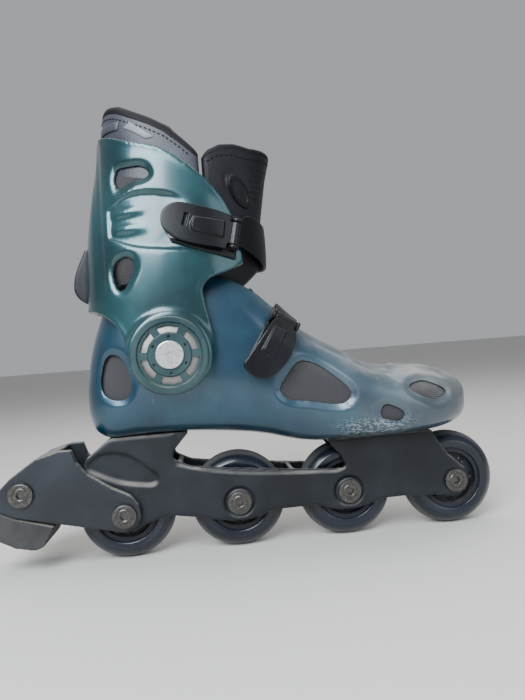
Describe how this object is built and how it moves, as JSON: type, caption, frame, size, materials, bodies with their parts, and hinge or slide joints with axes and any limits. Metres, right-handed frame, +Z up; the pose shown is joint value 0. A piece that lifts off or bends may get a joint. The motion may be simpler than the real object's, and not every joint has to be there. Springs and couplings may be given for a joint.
{
  "type": "inline skate",
  "caption": "Hard-boot inline skate: hinged cuff over a vented shell, two lever buckles, padded liner, and a frame with wheels in a row and a heel brake.",
  "frame": {"origin": "on the floor under the frame, midway between the first and the last axle, in the wheels' plane", "axes": "+X to the toe, +Y to the inner side of the foot (a right skate, so -Y is the outer side), +Z up out of the boot's opening"},
  "size_m": [0.3784, 0.1184, 0.3341],
  "materials": {
    "shell_plastic": "gloss, metallic dark teal blue",
    "cuff_plastic": "gloss, metallic green teal",
    "ring_plastic": "satin metallic green teal",
    "liner_fabric": "charcoal mesh and vinyl",
    "tongue_padding": "charcoal padded vinyl",
    "footbed_foam": "matt grey foam",
    "frame_nylon": "satin charcoal glass-filled nylon",
    "black_plastic": "satin black",
    "buckle_plastic": "satin black",
    "strap_plastic": "satin black, flexible",
    "brake_rubber": "worn black rubber",
    "urethane": "satin dark navy urethane",
    "core_nylon": "satin dark nylon",
    "bright_steel": "zinc-plated, slightly worn"
  },
  "bodies": {
    "boot": {"shell": "shell_plastic", "liner_foot": "liner_fabric", "footbed": "footbed_foam", "tongue_lower": "tongue_padding", "frame": "frame_nylon", "frame_bolts": "bright_steel", "frame_nuts": "bright_steel", "brake_housing": "frame_nylon", "brake_pad": "brake_rubber", "brake_bolt": "bright_steel", "brake_screw": "bright_steel", "pivot_rivets": "bright_steel", "instep_strap": "strap_plastic", "instep_strap_anchor": "buckle_plastic", "instep_strap_rivet": "bright_steel", "instep_buckle_base": "buckle_plastic", "instep_buckle_rivets": "bright_steel", "instep_lever_pin": "bright_steel", "axle_1_bolt": "bright_steel", "axle_1_screw": "bright_steel", "wheel_1_inner_races": "bright_steel", "axle_2_bolt": "bright_steel", "axle_2_screw": "bright_steel", "wheel_2_inner_races": "bright_steel", "axle_3_bolt": "bright_steel", "axle_3_screw": "bright_steel", "wheel_3_inner_races": "bright_steel", "axle_4_bolt": "bright_steel", "axle_4_screw": "bright_steel", "wheel_4_inner_races": "bright_steel"},
    "cuff": {"cuff": "cuff_plastic", "cuff_spoiler": "black_plastic", "liner_collar": "liner_fabric", "tongue_upper": "tongue_padding", "pivot_ring_outer": "ring_plastic", "pivot_ring_inner": "ring_plastic", "cuff_strap": "strap_plastic", "cuff_strap_anchor": "buckle_plastic", "cuff_strap_rivet": "bright_steel", "cuff_buckle_base": "buckle_plastic", "cuff_buckle_rivets": "bright_steel", "cuff_lever_pin": "bright_steel"},
    "cuff_lever": {"cuff_lever": "buckle_plastic", "cuff_lever_catch": "buckle_plastic"},
    "instep_lever": {"instep_lever": "buckle_plastic", "instep_lever_catch": "buckle_plastic"},
    "wheel_1": {"wheel_1_tyre": "urethane", "wheel_1_core": "core_nylon", "wheel_1_bearings": "bright_steel"},
    "wheel_2": {"wheel_2_tyre": "urethane", "wheel_2_core": "core_nylon", "wheel_2_bearings": "bright_steel"},
    "wheel_3": {"wheel_3_tyre": "urethane", "wheel_3_core": "core_nylon", "wheel_3_bearings": "bright_steel"},
    "wheel_4": {"wheel_4_tyre": "urethane", "wheel_4_core": "core_nylon", "wheel_4_bearings": "bright_steel"}
  },
  "joints": [
    {"name": "cuff_lean", "type": "hinge", "parent": "boot", "child": "cuff", "pos_m": [-0.082, 0, 0.148], "axis": [0, 1, 0], "range_deg": [-8, 14]},
    {"name": "cuff_lever_open", "type": "hinge", "parent": "cuff", "child": "cuff_lever", "pos_m": [-0.0315, -0.05071, 0.227], "axis": [0.218, 0.1337, 0.9667], "range_deg": [0, 110]},
    {"name": "instep_lever_open", "type": "hinge", "parent": "boot", "child": "instep_lever", "pos_m": [0.00025, -0.04026, 0.166], "axis": [-0.8266, -0.1142, 0.5511], "range_deg": [0, 110]},
    {"name": "wheel_1_spin", "type": "hinge", "parent": "boot", "child": "wheel_1", "pos_m": [0.1242, 0, 0.036], "axis": [0, 1, 0], "continuous": true},
    {"name": "wheel_2_spin", "type": "hinge", "parent": "boot", "child": "wheel_2", "pos_m": [0.0414, 0, 0.036], "axis": [0, 1, 0], "continuous": true},
    {"name": "wheel_3_spin", "type": "hinge", "parent": "boot", "child": "wheel_3", "pos_m": [-0.0414, 0, 0.036], "axis": [0, 1, 0], "continuous": true},
    {"name": "wheel_4_spin", "type": "hinge", "parent": "boot", "child": "wheel_4", "pos_m": [-0.1242, 0, 0.036], "axis": [0, 1, 0], "continuous": true}
  ]
}
